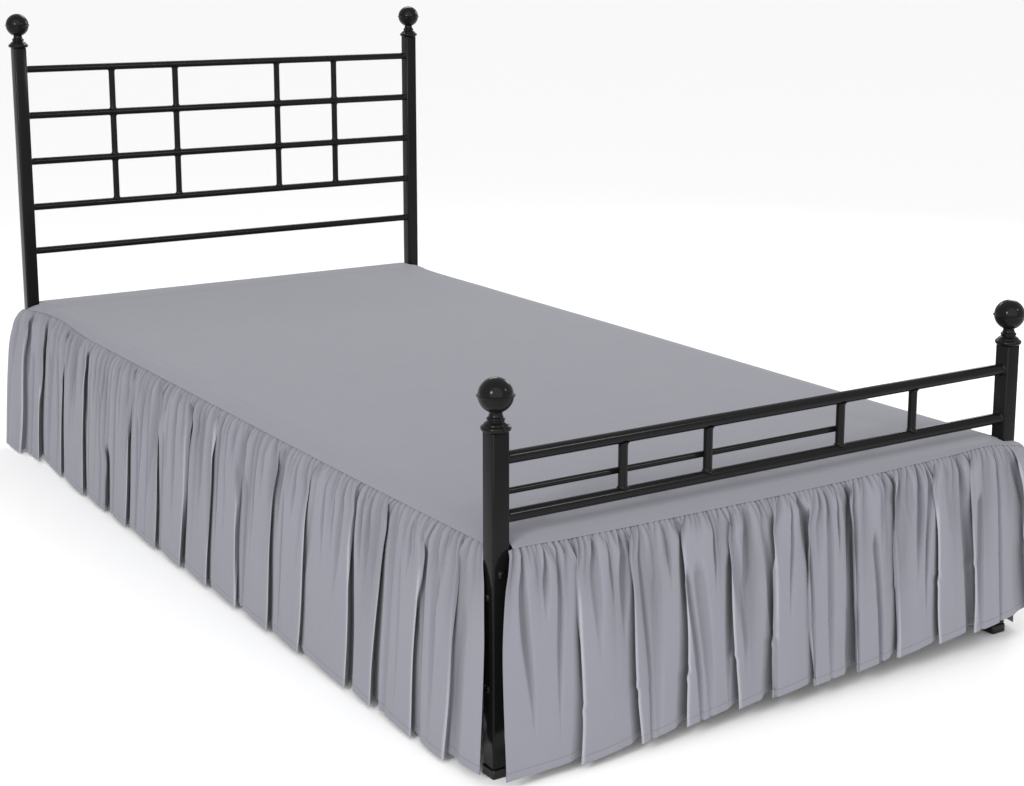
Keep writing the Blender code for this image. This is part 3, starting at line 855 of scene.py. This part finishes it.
def support_steel():
    """Satin black paint on the slats and side rails, which the panel hides."""
    made, tree, shader = material("satin_black_paint")
    shader.inputs["Base Color"].default_value = linear("#1a1a1b")
    shader.inputs["Roughness"].default_value = 0.45
    place = node(tree, "ShaderNodeTexCoord")
    grain = node(tree, "ShaderNodeTexNoise", {"Vector": place.outputs["Object"]}, Scale=300.0, Detail=3.0)
    bump = node(tree, "ShaderNodeBump", {"Height": grain.outputs["Fac"]}, Strength=0.15, Distance=0.0005)
    tree.links.new(bump.outputs["Normal"], shader.inputs["Normal"])
    return made


def black_plastic():
    """Moulded black polyethylene of the feet."""
    made, tree, shader = material("black_moulded_plastic")
    shader.inputs["Base Color"].default_value = linear("#121212")
    shader.inputs["Roughness"].default_value = 0.38
    shader.inputs["Specular IOR Level"].default_value = 0.3
    return made


def floor():
    """A plain pale floor, far wider than the bed."""
    size = 80.0
    corners = np.array([(-1, -1, 0), (1, -1, 0), (1, 1, 0), (-1, 1, 0)], float) * size
    plane = mesh_object("floor", corners, np.array([[0, 1, 2, 3]]))
    made, _, shader = material("pale_floor")
    shader.inputs["Base Color"].default_value = linear("#fdfdfd")
    shader.inputs["Roughness"].default_value = 0.9
    plane.data.materials.append(made)


def light(name, place, target, size, power):
    """An elliptical lamp at place, turned to face target."""
    lamp = bpy.data.lights.new(name, "AREA")
    lamp.shape = "ELLIPSE"
    lamp.size, lamp.size_y = size
    lamp.energy = power
    obj = bpy.data.objects.new(name, lamp)
    bpy.context.scene.collection.objects.link(obj)
    obj.location = place
    direction = np.array(target) - np.array(place)
    flat = math.hypot(direction[0], direction[1])
    obj.rotation_euler = (math.atan2(flat, -direction[2]), 0.0, math.atan2(-direction[0], direction[1]))


def sun(towards, strength, spread):
    """An even light from far away, in the direction given, its edge softened over spread degrees."""
    lamp = bpy.data.lights.new("sky_panel", "SUN")
    lamp.energy = strength
    lamp.angle = math.radians(spread)
    obj = bpy.data.objects.new("sky_panel", lamp)
    bpy.context.scene.collection.objects.link(obj)
    flat = math.hypot(towards[0], towards[1])
    obj.rotation_euler = (math.atan2(flat, towards[2]), 0.0, math.atan2(towards[0], -towards[1]))


def camera():
    lens = bpy.data.cameras.new("camera")
    lens.sensor_width = 36.0
    lens.lens = 62.57
    lens.shift_y = -0.09
    obj = bpy.data.objects.new("camera", lens)
    bpy.context.scene.collection.objects.link(obj)
    obj.location = (-1.742, -2.972, 1.1375)
    obj.rotation_euler = (math.radians(90 - 11.13), 0.0, math.radians(-32.74))
    bpy.context.scene.camera = obj


def studio():
    """An even light from the left front, four soft lamps and a white surround."""
    sun((-0.52, -0.88, 0.36), 2.1, 80.0)
    light("left_spot", (-3.5, -2.5, 2.2), (-0.3, -0.4, 0.3), (1.0, 1.0), 66.0)
    light("right_window", (1.7, -3.1, 2.3), (-0.2, -0.8, 0.3), (0.5, 0.7), 12.0)
    light("right_fill", (3.4, 1.2, 2.0), (0.4, 0.0, 0.2), (1.2, 1.2), 22.0)
    light("top_window", (1.1, 2.3, 2.5), (-0.2, -0.6, 0.4), (1.4, 0.4), 16.0)
    world = bpy.data.worlds.new("studio")
    bpy.context.scene.world = world
    world.use_nodes = True
    background = world.node_tree.nodes["Background"]
    background.inputs["Color"].default_value = (1.0, 1.0, 1.0, 1.0)
    background.inputs["Strength"].default_value = 0.73
    bpy.context.scene.view_settings.view_transform = "Standard"


def main():
    cloth = microfibre()
    coat = powder_coat()
    left = drop_grid(
        SIDE_SEAM, LEFT_FOLDS, LEFT_HEM, LEFT_SWING, SIDE_LAP, LEFT_COLUMNS, 3, FOOT_END_TUCK
    )
    right = drop_grid(
        SIDE_SEAM, RIGHT_FOLDS, RIGHT_HEM, RIGHT_SWING, SIDE_LAP, RIGHT_COLUMNS, 5, FOOT_END_TUCK
    )
    foot = drop_grid(FOOT_SEAM, FOOT_FOLDS, FOOT_HEM, FOOT_SWING, FOOT_LAP, FOOT_COLUMNS, 7, 0.0, CREASE)
    pieces = {
        "left_drop": drop("left_ruffle", left, to_left, False),
        "right_drop": drop("right_ruffle", right, to_right, True),
        "foot_drop": drop("foot_ruffle", foot, to_foot, True),
        "deck": deck_panel(),
    }
    for node_name, piece in pieces.items():
        piece.data.materials.append(cloth)
        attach(piece, "root")
        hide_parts(node_name)
    finish = {"black_powder_coat": coat, "foot_plastic": black_plastic()}
    replaced = set(pieces)
    for piece, names, slot in frame_pieces():
        piece.data.materials.append(finish[slot])
        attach(piece, "root")
        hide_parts(*names)
        replaced.update(names)
    steel = support_steel()
    for name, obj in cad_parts.items():
        if name not in replaced:
            obj.data.materials.clear()
            obj.data.materials.append(steel)
    floor()
    studio()
    camera()


main()
